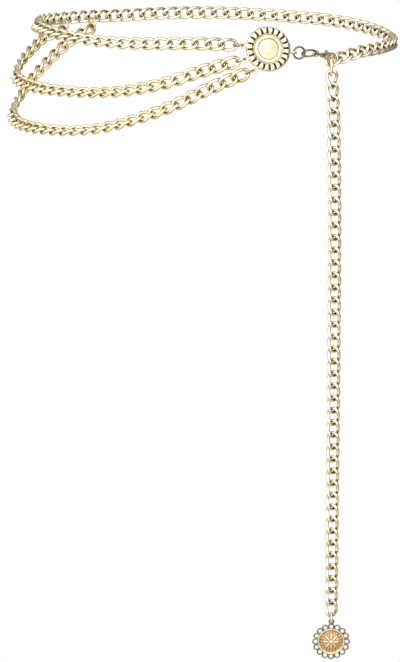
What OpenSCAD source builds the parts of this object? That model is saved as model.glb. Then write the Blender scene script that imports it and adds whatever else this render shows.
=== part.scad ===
/* [Waist loop] */
// Half width of the waist loop, to the chain's middle
waist_half_w = 121.5; // [110:0.5:135]
// Half depth of the waist loop, to the chain's middle
waist_half_d = 85; // [76:0.5:96]
// Fall of the loop from its left end to its right end, in degrees
waist_roll = 3; // [1:0.5:5]

/* [Chain] */
// Outer length of a curb link
link_l = 13.5; // [13.3:0.05:13.9]
// Outer width of a curb link
link_w = 9; // [8.8:0.1:10]
// Diameter of the link's wire
wire_d = 2.2; // [1.8:0.05:2.4]
// How far the twisted wire rises out of the link's flat plane, each way
link_rise = 1.5; // [1.4:0.05:1.6]
// Greatest distance between the middles of neighbouring links
link_pitch = 8.4; // [8:0.05:8.5]
// Number of links that hang in the tail
tail_links = 45; // [10:1:60]
// Slant at which the tail leaves the clasp, in degrees
tail_slant = 4; // [0:0.5:12]
// Least gap left between metal pieces that are linked
link_gap = 0.28; // [0.2:0.01:0.34]

/* [Jump rings] */
// Wire of every jump ring
ring_wire = 1.3; // [1:0.05:1.5]
// Outer diameter of the rings that hold the strands at the medallion
strand_ring_d = 7.5; // [7.3:0.1:8]
// Outer diameter of the ring that holds the upper drape at the back
junction_ring_upper_d = 9; // [8.8:0.1:9.6]
// Outer diameter of the ring that holds the lower drape at the back
junction_ring_lower_d = 9; // [8.8:0.1:9.6]
// Outer diameter of the clasp's ring next to the medallion
clasp_ring_a_d = 8.9; // [8:0.1:9.5]
// Outer diameter of the clasp's ring next to the clasp
clasp_ring_b_d = 10.3; // [9:0.1:11]
// Turn of the second clasp ring out of the first one's plane, in degrees
clasp_ring_turn = 54; // [45:1:70]
// Outer diameter of the ring that the pendant hangs on
pendant_ring_d = 7.6; // [7.4:0.1:8]

/* [Medallion] */
// Diameter of the medallion over its petalled rim
medal_d = 29.2; // [26:0.2:32]
// Thickness of the medallion's back plate
plate_t = 1; // [0.8:0.1:1.4]
// Backward lean of the medallion on the hip, in degrees
medal_lean = 18; // [10:1:24]
// Number of petals in the rim
petals = 20; // [16:1:22]
// Width of the slot between two petals
slot_w = 1; // [0.7:0.05:1.2]
// Inner diameter of the petalled rim
petals_inner_d = 18.6; // [18:0.2:19.4]
// Height of the petals over the plate
petal_rise = 1.7; // [1.2:0.1:2.2]
// Diameter of the coin inside its smooth ring
coin_d = 13.2; // [12:0.2:14]
// Height of the coin's dome over the plate
coin_rise = 1.5; // [1.2:0.1:2]
// Number of rays on the coin
coin_rays = 12; // [8:1:14]
// Wire of the medallion's eyes
eye_wire = 1.2; // [1:0.05:1.4]
// Hole in each of the medallion's eyes
eye_hole = 2.4; // [2.2:0.05:2.8]

/* [Clasp] */
// Distance from the clasp's eye to the middle of its hook
clasp_reach = 12; // [11:0.1:13]
// Inner diameter of the clasp's hook
hook_hole = 4.4; // [4.3:0.05:5]
// Wire of the clasp's hook
hook_wire = 1.6; // [1.4:0.05:1.65]
// Thickness of the clasp's body
clasp_t = 2.4; // [2.2:0.1:3]
// Thickness of the clasp's lever
lever_t = 1.1; // [0.8:0.05:1.3]
// Diameter of the lever's pin
pin_d = 0.8; // [0.6:0.05:1]
// Fall of the clasp towards its hook, in degrees
clasp_fall = 18; // [10:1:24]

/* [Pendant] */
// Diameter of the pendant over its loops
pendant_d = 25.6; // [24:0.4:30]
// Number of wire loops around the pendant
pendant_loops = 16; // [12:1:16]
// Wire of the pendant's loops
loop_wire = 1; // [0.8:0.05:1.1]
// Height of the pendant's dome
dome_rise = 2.6; // [2:0.1:3.2]
// Height of the flower and the grains over the dome
relief_rise = 0.5; // [0.3:0.05:0.8]

/* [Hidden] */

// The chains' routes on the body, from the medallion or the back to their far ends.
// Columns: degrees round the body from its front towards its left, how far out of
// the waist's ellipse, the height over the rolled waist loop, and the links' upward lean.
WAIST_ROUTE = [[8, 0, 7, 22], [22, 0, 4.4, 42], [36, 0, 2.4, 58], [50, 0, 1.8, 66], [64, 0, 1.8, 58],
               [78, -0.6, 1.4, 42], [92, -1, 0, 24], [106, -0.4, -0.6, 8], [120, 0, -1.8, 0],
               [134, 0, -2.4, 0], [148, 0, -2.6, 0], [162, 0, -1.2, 0], [176, 0, 0.2, 0], [190, 0, 1, 0],
               [204, 0, 1.6, 0], [218, 0, 2.4, 0], [232, -1, 2.4, 0], [246, -2.6, 1.8, 0],
               [260, -4, 1.2, 0], [274, -4, 1.8, 0], [288, -3, 2.8, 10], [301, -1, 2.9, 28],
               [311, 0, 2.2, 46]];
UPPER_ROUTE = [[113, 6, -14.6, 20], [105, 7.6, -20.8, 16], [96, 11, -28, 15], [86, 13, -34, 21],
               [76, 11.6, -35.2, 33], [64, 9, -35, 48], [52, 6, -33.6, 62], [40, 5, -31.2, 68],
               [28, 4, -27, 62], [16, 2, -19.8, 46], [6, 0, -11.4, 24]];
LOWER_ROUTE = [[127.5, 1.6, -17, 20], [122, 4, -23.8, 14], [115, 7, -33, 12], [107, 10.4, -43, 12],
               [99, 13.4, -52.6, 16], [90, 15.6, -59.2, 25], [80, 14.8, -62.6, 37], [70, 13, -62.5, 51],
               [58, 10, -60.8, 64], [46, 7, -57.8, 68], [34, 5, -52, 66], [22, 3, -42.3, 56],
               [12, 1, -32.5, 42], [3, 0, -22, 20]];
// Where the medallion's middle sits, in the first three of those columns
MEDAL_AT = [344.6, 0, 5.6];
// Directions of the eyes from the medallion's middle, in degrees, each counted from the one before it
EYE_WAIST = 170;
UPPER_FROM_WAIST = 31;
LOWER_FROM_UPPER = 32;
EYE_UPPER = EYE_WAIST + UPPER_FROM_WAIST;
EYE_LOWER = EYE_UPPER + LOWER_FROM_UPPER;
EYE_CLASP = EYE_WAIST + 180;
// Where the upper drape hangs from the waist chain, in degrees round the body, and how much
// further round the lower one hangs
UPPER_HANG = 121;
HANG_APART = 13;
LOWER_HANG = UPPER_HANG + HANG_APART;
// Backward tilt of the drapes' first and last links, in degrees
HANG_LEAN = 28;
DRAPE_LEAN = 4;
UP = [0, 0, 1];
ROUTE_STEPS = 24;

link_a = (link_l - wire_d) / 2;
link_b = (link_w - wire_d) / 2;
// From a ring's wire inside a link's end to the middle of that link
link_reach = link_a - (wire_d + ring_wire) / 2 - link_gap;
medal_r = medal_d / 2;
eye_r = (eye_hole + eye_wire) / 2;
eye_out = medal_r + eye_r + eye_wire / 2 - 0.4;
hook_r = (hook_hole + hook_wire) / 2;
clasp_eye_r = 1.75;
clasp_eye_wire = 1.1;
pendant_r = pendant_d / 2;
// The loops are wide enough to run a little into their neighbours
LOOP_BITE = 0.38;
loop_part = sin(180 / pendant_loops);
loop_r = ((pendant_r - loop_wire / 2) * loop_part + (LOOP_BITE - loop_wire) / 2) / (1 + loop_part);
loops_at = pendant_r - loop_r - loop_wire / 2;
hub_wire = 1.3;
dome_drop = dome_rise / 2;
bail_r = 1.5;
bail_wire = 1.1;

function unit(v) = v / norm(v);
function flat(v) = unit([v[0], v[1], 0]);
function on_body(row) = let (x = -(waist_half_w + row[1]) * sin(row[0]))
  [x, -(waist_half_d + row[1]) * cos(row[0]), row[2] - x * tan(waist_roll)];
// A route's points, each with the lean of the links there after it
function leaning(p, lean) = [p[0], p[1], p[2], lean];
function routed(rows) = [for (r = rows) leaning(on_body(r), r[3])];
function outward(p) = flat([p[0] / pow(waist_half_w, 2), p[1] / pow(waist_half_d, 2), 0]);
function azimuth(p) = atan2(-p[0] / waist_half_w, -p[1] / waist_half_d);
// A place with its own axes: origin, then the x, y and z directions
function place(o, x, z) = let (n = unit(z - (z * x) * x / (x * x))) [o, unit(x), cross(n, unit(x)), n];
function spin(p, turn) = [p[0], p[1], p[2] * cos(turn) + p[3] * sin(turn), p[3] * cos(turn) - p[2] * sin(turn)];

// A smooth curve through the points, as ROUTE_STEPS short steps for each stretch
function curve_point(a, b, c, d, t) =
  b + (c - a) * t / 2 + (a - 2.5 * b + 2 * c - d / 2) * t * t + (1.5 * b - a / 2 - 1.5 * c + d / 2) * pow(t, 3);
function curve(p) = let (last = len(p) - 1, q = concat([2 * p[0] - p[1]], p, [2 * p[last] - p[last - 1]]))
  [for (i = [0 : last - 1], j = [0 : ROUTE_STEPS - (i < last - 1 ? 1 : 0)])
    curve_point(q[i], q[i + 1], q[i + 2], q[i + 3], j / ROUTE_STEPS)];
function point(c) = [c[0], c[1], c[2]];
function run(c) =
  [for (i = 0, s = 0; i < len(c); s = s + (i < len(c) - 1 ? norm(point(c[i + 1] - c[i])) : 0), i = i + 1) s];
// Middles of links, with their leans, at equal steps along a route, no further apart than link_pitch
function middles(p) = let (c = curve(p), s = run(c), n = ceil(s[len(s) - 1] / link_pitch), step = s[len(s) - 1] / n)
  [for (i = [0 : n]) [for (k = [0 : 3]) lookup(i * step, [for (j = [0 : len(c) - 1]) [s[j], c[j][k]]])]];
function links(p) = let (m = middles(p), last = len(m) - 1)
  [for (i = [0 : last]) let (n = outward(m[i]), lean = m[i][3])
    place(point(m[i]), point(m[min(i + 1, last)] - m[max(i - 1, 0)]), n * cos(lean) + UP * sin(lean))];

// The medallion and what hangs from its eyes
medal_mid = on_body(MEDAL_AT);
medal_place = place(medal_mid, cross(UP, outward(medal_mid)),
  outward(medal_mid) * cos(medal_lean) + UP * sin(medal_lean));
function rim_dir(angle) = medal_place[1] * cos(angle) + medal_place[2] * sin(angle);
function eye_mid(angle) = medal_mid + eye_out * rim_dir(angle);
strand_r = (strand_ring_d - ring_wire) / 2;
function strand_dir(angle, row) = unit(on_body(row) - eye_mid(angle));
function strand_end(angle, row) = eye_mid(angle) + (2 * strand_r + link_reach) * strand_dir(angle, row);
module strand_ring(angle, row) {
  d = strand_dir(angle, row);
  ring(place(eye_mid(angle) + strand_r * d, d, cross(d, medal_place[3])), strand_ring_d);
}

// From the medallion's right eye through both rings to the clasp
ring_a_r = (clasp_ring_a_d - ring_wire) / 2;
ring_b_r = (clasp_ring_b_d - ring_wire) / 2;
RINGS_TURN = 16;
RINGS_FALL = 5;
CLASP_TURN = 24;
function right_way(turn, fall) = [cos(turn) * cos(fall), sin(turn) * cos(fall), -sin(fall)];
rings_dir = right_way(RINGS_TURN, RINGS_FALL);
ring_a_mid = eye_mid(EYE_CLASP) + ring_a_r * rings_dir;
ring_b_mid = ring_a_mid + (ring_a_r + ring_b_r - ring_wire - link_gap) * rings_dir;
ring_a_place = place(ring_a_mid, rings_dir, outward(ring_a_mid));
ring_b_place = spin(place(ring_b_mid, rings_dir, outward(ring_b_mid)), clasp_ring_turn);
clasp_dir = right_way(CLASP_TURN, clasp_fall);
clasp_front = right_way(CLASP_TURN - 90, 0);
clasp_eye_mid = ring_b_mid + ring_b_r * rings_dir;
hook_mid = clasp_eye_mid + clasp_reach * clasp_dir;
// The clasp's own axes: x to the hook's tip, y down to its back, z into the body
clasp_place = place(hook_mid, clasp_dir, -clasp_front);

// The plain link that the hook grips, seen edge on, and the waist chain's last link behind it
clasp_right = right_way(CLASP_TURN, 0);
GRIP_ROOM = 0.98;
GRIP_BACK = 0.35;
GRIP_TURN = 2.7;
grip_mid = hook_mid - GRIP_BACK * clasp_front - (hook_r + link_a - (hook_wire + wire_d) / 2 - GRIP_ROOM) * UP;
waist_end = grip_mid + 3 * clasp_right - 2.6 * clasp_front + 3.7 * UP;
WAIST_END_LEAN = 53;

waist_links = links(concat([leaning(strand_end(EYE_WAIST, WAIST_ROUTE[0]), 0)], routed(WAIST_ROUTE),
  [leaning(waist_end, WAIST_END_LEAN)]));
function waist_link_at(angle) = waist_links[len([for (i = [0 : round(len(waist_links) / 2)])
  if (azimuth(waist_links[i][0]) < angle) 1])];

// A junction ring goes through the waist link and down towards the drape
HANG_OUT = 13.5;
HANG_ROOM = 0.2;
function hang_dir(angle) = outward(waist_link_at(angle)[0]) * sin(HANG_OUT) - UP * cos(HANG_OUT);
function hang_top(angle) = waist_link_at(angle)[0] - link_b * UP
  - ((wire_d + ring_wire) / 2 + link_gap + HANG_ROOM) * hang_dir(angle);
function hang_place(angle, d) = let (w = hang_dir(angle))
  place(hang_top(angle) + (d - ring_wire) / 2 * w, w, cross(w, outward(hang_top(angle))));
function drape_start(angle, row, d) = let (far = hang_top(angle) + (d - ring_wire) * hang_dir(angle))
  far + link_reach * unit(on_body(row) - far);
upper_links = links(concat([leaning(drape_start(UPPER_HANG, UPPER_ROUTE[0], junction_ring_upper_d), HANG_LEAN)],
  routed(UPPER_ROUTE), [leaning(strand_end(EYE_UPPER, UPPER_ROUTE[len(UPPER_ROUTE) - 1]), DRAPE_LEAN)]));
lower_links = links(concat([leaning(drape_start(LOWER_HANG, LOWER_ROUTE[0], junction_ring_lower_d), HANG_LEAN)],
  routed(LOWER_ROUTE), [leaning(strand_end(EYE_LOWER, LOWER_ROUTE[len(LOWER_ROUTE) - 1]), DRAPE_LEAN)]));

// The tail: the gripped link edge on, then links that turn to face forwards
function slant(i) = tail_slant * exp(-i / 6);
function tail_way(i) = [sin(slant(i)), 0, -cos(slant(i))];
tail_mids = [for (i = 0, p = grip_mid; i < tail_links; p = p + link_pitch * tail_way(i), i = i + 1) p];
grip_link = place(grip_mid, -UP, right_way(GRIP_TURN, 0));
TAIL_TURN = 35;
function tail_front(i) = right_way(TAIL_TURN * exp((1 - i) / 3) - 90, 0);
tail_list = [for (i = [1 : tail_links - 1]) place(tail_mids[i], tail_way(i), tail_front(i))];

// The pendant's ring and the pendant below the tail's last link
tail_tip = tail_mids[tail_links - 1] - link_a * UP;
pendant_ring_r = (pendant_ring_d - ring_wire) / 2;
SEAT_ROOM = 0.3;
ring_seat = (wire_d + ring_wire) / 2 + link_gap + SEAT_ROOM;
pendant_ring_mid = tail_tip + (ring_seat - pendant_ring_r) * UP;
bail_mid = pendant_ring_mid + ((ring_wire + bail_wire) / 2 + link_gap - pendant_ring_r - bail_r) * UP;
bail_at = pendant_r + bail_r - 0.15;
pendant_mid = bail_mid - bail_at * UP;

module at(p) {
  multmatrix([for (r = [0 : 2]) [p[1][r], p[2][r], p[3][r], p[0][r]]]) children();
}
// A round wire ring in the place's x and y plane
module torus(r, wire) {
  rotate_extrude($fn = 48) translate([r, 0]) circle(d = wire, $fn = 24);
}
// A round wire ring: its place's z is the ring's axis
module ring(p, d) {
  color("tan") at(p) torus((d - ring_wire) / 2, ring_wire);
}
// A rod with round ends along x
module pill(l, d) {
  rotate([0, 90, 0]) rotate_extrude($fn = 32) intersection() {
    union() {
      translate([0, d / 2]) square([d, l - d]);
      for (y = [d / 2, l - d / 2]) translate([0, y]) circle(d = d, $fn = 32);
    }
    square([d, l]);
  }
}

// A curb link: an oval ring whose wire is twisted so that the chain lies flat
function link_point(t, b = link_b, rise = -link_rise) = [link_a * cos(t), b * sin(t), rise * sin(2 * t)];
function link_way(t, b, rise) = unit([-link_a * sin(t), b * cos(t), 2 * rise * cos(2 * t)]);
// Where the ten-sided link has its corners, in degrees: closer together round its ends
END_CORNER = 31;
SIDE_CORNER = 53;
LINK_CORNERS = [for (half = [0, 180], t = [0, END_CORNER, SIDE_CORNER, 180 - SIDE_CORNER, 180 - END_CORNER]) half + t];
WIRE_SIDES = 5;
WIRE_TURN = 24;
module facet_link(rise = -link_rise) {
  sides = len(LINK_CORNERS);
  b = (link_b + 0.05) / sin(SIDE_CORNER);
  points = [for (t = LINK_CORNERS) let (u = unit(cross(link_way(t, b, rise), UP)), v = cross(link_way(t, b, rise), u))
    for (j = [0 : WIRE_SIDES - 1]) let (w = WIRE_TURN + 360 * j / WIRE_SIDES)
      link_point(t, b, rise) + wire_d / 2 * (u * cos(w) + v * sin(w))];
  faces = [for (i = [0 : sides - 1], j = [0 : WIRE_SIDES - 1]) let (k = (i + 1) % sides, m = (j + 1) % WIRE_SIDES,
    a = i * WIRE_SIDES + j, b = i * WIRE_SIDES + m, c = k * WIRE_SIDES + m, d = k * WIRE_SIDES + j)
      each [[a, c, b], [a, d, c]]];
  polyhedron(points, faces);
}
// An arc of round wire through three points
module wire_arc(a, b, c, wire) {
  u = b - a;
  v = c - a;
  w = cross(u, v);
  o = a + (cross(w, u) * (v * v) + cross(v, w) * (u * u)) / (2 * (w * w));
  p = place(o, a - o, w);
  sweep = atan2((c - o) * p[2], (c - o) * p[1]);
  at(p) rotate_extrude(angle = sweep, $fn = 48) translate([norm(a - o), 0]) circle(d = wire, $fn = 24);
}
// The same link in true round wire, with a tiny swell at its ends and sides
module round_link() {
  swell = 1.05 * wire_d;
  for (turn = [[0, 0, 0], [0, 0, 180], [180, 0, 0], [0, 180, 0]])
    rotate(turn) wire_arc(link_point(0), link_point(45), link_point(90), wire_d);
  for (p = [link_point(0), link_point(90), link_point(180), link_point(270)]) translate(p) sphere(d = swell, $fn = 24);
}

module waist_chain() {
  color("gold") for (p = waist_links) at(p) facet_link();
}
module tail_chain() {
  color("gold") {
    at(grip_link) facet_link(0);
    for (p = tail_list) at(p) facet_link();
  }
}
module drape_lower() {
  color("goldenrod") for (p = lower_links) at(p) facet_link();
}
module drape_upper() {
  color("goldenrod") for (p = upper_links) at(p) round_link();
}

// The medallion is one casting: plate, petalled rim, smooth ring, coin and soldered eyes
module medallion() {
  seat_r = petals_inner_d / 2;
  coin_r = coin_d / 2;
  ray_l = coin_r * 0.5;
  color("gold") at(medal_place) {
    translate([0, 0, -plate_t]) cylinder(r = medal_r - RIM_EDGE, h = plate_t, $fn = 60);
    petal_rim(seat_r);
    translate([0, 0, 0.5]) torus((seat_r + coin_r) / 2, seat_r - coin_r - 0.6);
    coin();
    for (i = [0 : coin_rays - 1]) rotate([0, 0, 360 * i / coin_rays]) translate([coin_r * 0.3, 0, coin_rise * 0.9])
      rotate([0, 9, 0]) pill(ray_l, 0.7);
    for (a = [EYE_WAIST, EYE_UPPER, EYE_LOWER]) rotate([0, 0, a]) translate([eye_out, 0, 0]) torus(eye_r, eye_wire);
    rotate([0, 0, EYE_CLASP]) translate([eye_out, 0, 0]) rotate([90, 0, 0]) torus(eye_r, eye_wire);
  }
}
// A half-round rim cut into petals by radial slots that a thin edge closes
RIM_EDGE = 0.7;
module petal_rim(seat_r) {
  middle_r = (seat_r + medal_r) / 2;
  half_w = (medal_r - seat_r) / 2;
  difference() {
    translate([0, 0, -plate_t / 2]) rotate_extrude($fn = 60) translate([middle_r, 0]) intersection() {
      scale([half_w, petal_rise + plate_t / 2]) circle(r = 1, $fn = 32);
      translate([-half_w, 0]) square([2 * half_w, petal_rise + plate_t]);
    }
    for (i = [0 : petals - 1]) rotate([0, 0, 360 * i / petals]) translate([seat_r + 0.4, -slot_w / 2, 0.1])
      cube([2 * half_w - 0.4 - RIM_EDGE, slot_w, 2 * petal_rise]);
  }
}
// The coin's dome, a cap of a large ball, and its raised middle
module coin() {
  coin_r = coin_d / 2;
  ball_r = (pow(coin_r, 2) + pow(coin_rise, 2)) / (2 * coin_rise);
  intersection() {
    translate([0, 0, coin_rise - ball_r]) sphere(r = ball_r, $fn = 96);
    translate([0, 0, -plate_t / 2]) cylinder(r = coin_r, h = coin_rise + plate_t, $fn = 64);
  }
  translate([0, 0, coin_rise]) sphere(d = coin_r * 0.4, $fn = 24);
}

// The clasp, drawn with its hook's hole at the origin and its eye at -x
pivot = [-hook_r - 1.7, -1.5];
// The lever ends here, just short of the inner side of the hook's nose
NOSE_FROM = -52;
LEVER_TO = -38;
lever_reach = norm((hook_r - hook_wire / 2) * [cos(LEVER_TO), sin(LEVER_TO)] - pivot) - 0.13;
module clasp_body() {
  slot_t = lever_t + 0.2;
  color("gold") at(clasp_place) {
    rotate_extrude(angle = 164, $fn = 64) translate([hook_r, 0]) circle(d = hook_wire, $fn = 24);
    difference() {
      rotate([0, 0, NOSE_FROM]) rotate_extrude(angle = 1 - NOSE_FROM, $fn = 64) translate([hook_r, 0])
        circle(d = hook_wire, $fn = 24);
      translate([pivot[0], pivot[1], -clasp_t]) cylinder(r = lever_reach + 0.15, h = 2 * clasp_t, $fn = 96);
    }
    difference() {
      translate([0, 0, -clasp_t / 2]) linear_extrude(clasp_t) polygon([[-clasp_reach + 1.2, -0.8],
        [pivot[0] - 1.6, -1.8], [pivot[0] - 0.4, pivot[1] - 1.1], [pivot[0] + 1, pivot[1] - 1.1], [-hook_r + 1, -1.2],
        [-hook_r + 1.4, 2.4], [-hook_r + 0.6, 2.7], [pivot[0], 1.7], [-clasp_reach + 1.2, 0.8]]);
      translate([0, 0, -clasp_t]) cylinder(d = hook_hole, h = 2 * clasp_t, $fn = 48);
      translate([pivot[0] - 1.9, -6, -slot_t / 2]) cube([8, 6.1, slot_t]);
      translate([pivot[0], pivot[1], -clasp_t]) cylinder(d = pin_d + 0.06, h = 2 * clasp_t, $fn = 24);
    }
    translate([-clasp_reach, 0, 0]) torus(clasp_eye_r, clasp_eye_wire);
  }
}
module clasp_lever() {
  bar = hook_wire - 0.3;
  color("khaki") at(clasp_place) difference() {
    union() {
      translate([0, 0, -lever_t / 2]) intersection() {
        translate([pivot[0], pivot[1], 0]) cylinder(r = lever_reach, h = lever_t, $fn = 96);
        difference() {
          cylinder(r = hook_r + bar / 2, h = lever_t, $fn = 64);
          translate([0, 0, -1]) cylinder(r = hook_r - bar / 2, h = lever_t + 2, $fn = 64);
        }
        linear_extrude(lever_t) polygon([[0, 0], 6 * [cos(LEVER_TO), sin(LEVER_TO)], [0, -8], [-8, -5],
          6 * [cos(-158), sin(-158)]]);
      }
      translate([pivot[0], pivot[1], -lever_t / 2]) cylinder(d = 2.2, h = lever_t, $fn = 32);
      translate([0, 0, -lever_t / 2]) linear_extrude(lever_t) polygon([[pivot[0] - 0.9, pivot[1] - 0.5],
        [pivot[0] - 1.3, pivot[1] - 2.4], [pivot[0] - 0.3, pivot[1] - 2.6], [pivot[0] + 2.2, pivot[1] - 1],
        [pivot[0] + 1, pivot[1] + 0.3]]);
    }
    translate([pivot[0], pivot[1], -lever_t]) cylinder(d = pin_d + 0.14, h = 2 * lever_t, $fn = 24);
  }
}
module clasp_pin() {
  color("tan") at(clasp_place) translate([pivot[0], pivot[1], -clasp_t / 2]) cylinder(d = pin_d, h = clasp_t, $fn = 24);
}

// The pendant: a solid dome with a raised flower in a wire ring, soldered loops and a bail
FLOWER_PETALS = 8;
GRAINS = 20;
module pendant() {
  hub_r = loops_at - loop_r - loop_wire / 2 + 0.3;
  color("darkgoldenrod") at(place(pendant_mid, [1, 0, 0], [0, -1, 0])) {
    torus(hub_r, hub_wire);
    translate([0, 0, 0.4 - dome_drop]) torus(hub_r - 0.3, hub_wire);
    flower_dome(hub_r);
    for (i = [0 : pendant_loops - 1]) rotate([0, 0, 90 + 360 * i / pendant_loops]) translate([loops_at, 0, 0])
      torus(loop_r, loop_wire);
    translate([0, bail_at, 0]) torus(bail_r, bail_wire);
  }
}
// The dome is a cap of a large ball, with petals, a middle boss and a ring of grains seated on it
module flower_dome(hub_r) {
  ball_r = (pow(hub_r, 2) + pow(dome_rise, 2)) / (2 * dome_rise);
  petal_l = 0.5 * hub_r;
  grain_d = 1.3;
  translate([0, 0, dome_rise - ball_r - dome_drop]) {
    intersection() {
      sphere(r = ball_r, $fn = 96);
      translate([0, 0, ball_r - dome_rise]) cylinder(r = hub_r, h = dome_rise + 1, $fn = 64);
    }
    translate([0, 0, ball_r]) sphere(r = 0.17 * hub_r, $fn = 24);
    for (i = [0 : FLOWER_PETALS - 1]) rotate([0, 0, 360 * i / FLOWER_PETALS])
      rotate([0, asin(0.42 * hub_r / ball_r), 0]) translate([-petal_l / 2, 0, ball_r + relief_rise - 0.8])
        pill(petal_l, 1.6);
    for (i = [0 : GRAINS - 1]) rotate([0, 0, 360 * i / GRAINS]) rotate([0, asin(0.8 * hub_r / ball_r), 0])
      translate([0, 0, ball_r + relief_rise - grain_d / 2]) sphere(d = grain_d, $fn = 16);
  }
}

waist_chain();
tail_chain();
drape_upper();
drape_lower();
medallion();
strand_ring(EYE_WAIST, WAIST_ROUTE[0]);  // strand_ring_waist
strand_ring(EYE_UPPER, UPPER_ROUTE[len(UPPER_ROUTE) - 1]);  // strand_ring_upper
strand_ring(EYE_LOWER, LOWER_ROUTE[len(LOWER_ROUTE) - 1]);  // strand_ring_lower
ring(hang_place(UPPER_HANG, junction_ring_upper_d),  // junction_ring_upper
  junction_ring_upper_d);
ring(hang_place(LOWER_HANG, junction_ring_lower_d),  // junction_ring_lower
  junction_ring_lower_d);
ring(ring_a_place, clasp_ring_a_d);  // clasp_ring_a
ring(ring_b_place, clasp_ring_b_d);  // clasp_ring_b
clasp_body();
clasp_lever();
clasp_pin();
ring(place(pendant_ring_mid, UP, [1, 0, 0]), pendant_ring_d);  // pendant_ring
pendant();
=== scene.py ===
import math

import bpy
import numpy as np
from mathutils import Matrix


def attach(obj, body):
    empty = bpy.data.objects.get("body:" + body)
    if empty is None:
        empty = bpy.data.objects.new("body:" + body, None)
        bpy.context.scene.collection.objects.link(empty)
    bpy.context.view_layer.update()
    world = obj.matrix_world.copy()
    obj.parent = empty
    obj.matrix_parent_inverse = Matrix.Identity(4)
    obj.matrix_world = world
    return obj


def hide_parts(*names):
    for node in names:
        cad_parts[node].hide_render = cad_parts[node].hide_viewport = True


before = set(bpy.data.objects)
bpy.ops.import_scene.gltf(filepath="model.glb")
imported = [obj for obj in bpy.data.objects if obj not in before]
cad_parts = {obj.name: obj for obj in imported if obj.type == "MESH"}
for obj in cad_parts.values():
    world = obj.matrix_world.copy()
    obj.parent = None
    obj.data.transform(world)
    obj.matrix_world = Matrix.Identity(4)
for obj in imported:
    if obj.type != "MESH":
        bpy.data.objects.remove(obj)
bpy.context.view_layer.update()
print("frame loaded:", len(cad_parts), "nodes")

# Lengths are in millimetres until a mesh is made, and angles are in degrees
millimetre = 0.001
up = np.array([0.0, 0.0, 1.0])

waistLoop = {
    "halfWidth": 121.5,
    "halfDepth": 85.0,
    "roll": 3.0,  # the loop's fall from its left end to its right end
    # degrees round the body from its front to its left, then how far out of the ellipse,
    # the height, and the upward lean of the links
    "route": [
        [8, 0, 7, 22], [22, 0, 4.4, 42], [36, 0, 2.4, 58], [50, 0, 1.8, 66], [64, 0, 1.8, 58],
        [78, -0.6, 1.4, 42], [92, -1, 0, 24], [106, -0.4, -0.6, 8], [120, 0, -1.8, 0],
        [134, 0, -2.4, 0], [148, 0, -2.6, 0], [162, 0, -1.2, 0], [176, 0, 0.2, 0], [190, 0, 1, 0],
        [204, 0, 1.6, 0], [218, 0, 2.4, 0], [232, -1, 2.4, 0], [246, -2.6, 1.8, 0],
        [260, -4, 1.2, 0], [274, -4, 1.8, 0], [288, -3, 2.8, 10], [301, -1, 2.9, 28],
        [311, 0, 2.2, 46],
    ],
}
curbLink = {
    "length": 13.5,
    "width": 9.0,
    "wire": 2.2,
    "rise": -1.5,  # how far the wire twists out of the link's plane
    "pitch": 8.4,
    "gap": 0.28,  # between wires that hang in one another
    "around": 20,
    "sides": 8,
    "steps": 24,  # of the route's curve, from one of its points to the next
    "innerShadeFrom": 0.3,  # painted shade at the middle of the wire's side
    "innerShadeGain": 0.9,  # and how much more of it the inner side has
    "sideShare": 0.06,  # of the painted shade that the link's ends have, left on its long sides
    "beneath": 0.6,  # painted shade where the wire passes beneath its neighbour
    "beneathGain": 1.6,
}
jumpRings = {"wire": 1.3, "strand": 7.5, "claspA": 8.9, "claspB": 10.3, "pendant": 7.6}


def unit(v):
    return v / np.linalg.norm(v, axis=-1, keepdims=True)


def onBody(rows):
    # a row's point on the tilted ellipse round the body
    rows = np.atleast_2d(np.asarray(rows, float))
    a = np.radians(rows[:, 0])
    x = -(waistLoop["halfWidth"] + rows[:, 1]) * np.sin(a)
    y = -(waistLoop["halfDepth"] + rows[:, 1]) * np.cos(a)
    return np.stack([x, y, rows[:, 2] - x * math.tan(math.radians(waistLoop["roll"]))], -1)


def routed(rows):
    # the same points with each row's lean after them
    return [np.append(onBody(row)[0], row[3]) for row in rows]


def outward(p):
    # level direction out of the body: the ellipse's gradient
    p = np.asarray(p, float)
    x, y = p[..., 0] / waistLoop["halfWidth"] ** 2, p[..., 1] / waistLoop["halfDepth"] ** 2
    return unit(np.stack([x, y, 0 * x], -1))


def azimuth(p):
    # degrees round the body, as in the routes
    return np.degrees(np.arctan2(-p[..., 0] / waistLoop["halfWidth"], -p[..., 1] / waistLoop["halfDepth"]))


def place(origin, x, z):
    # a place is its origin and its x, y and z directions, with z made square to x
    origin, x, z = np.broadcast_arrays(*(np.asarray(v, float) for v in (origin, x, z)))
    x = unit(x)
    z = unit(z - (z * x).sum(-1, keepdims=True) * x)
    return np.stack([origin, x, np.cross(z, x), z], -2)


def smoothRoute(points):
    # a cubic for each stretch between two points, whose slope at a point is half the way
    # from the point before it to the point after it
    p = np.asarray(points, float)
    q = np.concatenate([[2 * p[0] - p[1]], p, [2 * p[-1] - p[-2]]])
    t = (np.arange(curbLink["steps"]) / curbLink["steps"])[None, :, None]
    a, b, c, d = (q[i:len(q) - 3 + i][:, None] for i in range(4))
    square = a - 2.5 * b + 2 * c - d / 2
    cube = 1.5 * b - a / 2 - 1.5 * c + d / 2
    curve = b + (c - a) * t / 2 + square * t ** 2 + cube * t ** 3
    return np.concatenate([curve.reshape(-1, p.shape[1]), p[-1:]])


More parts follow.
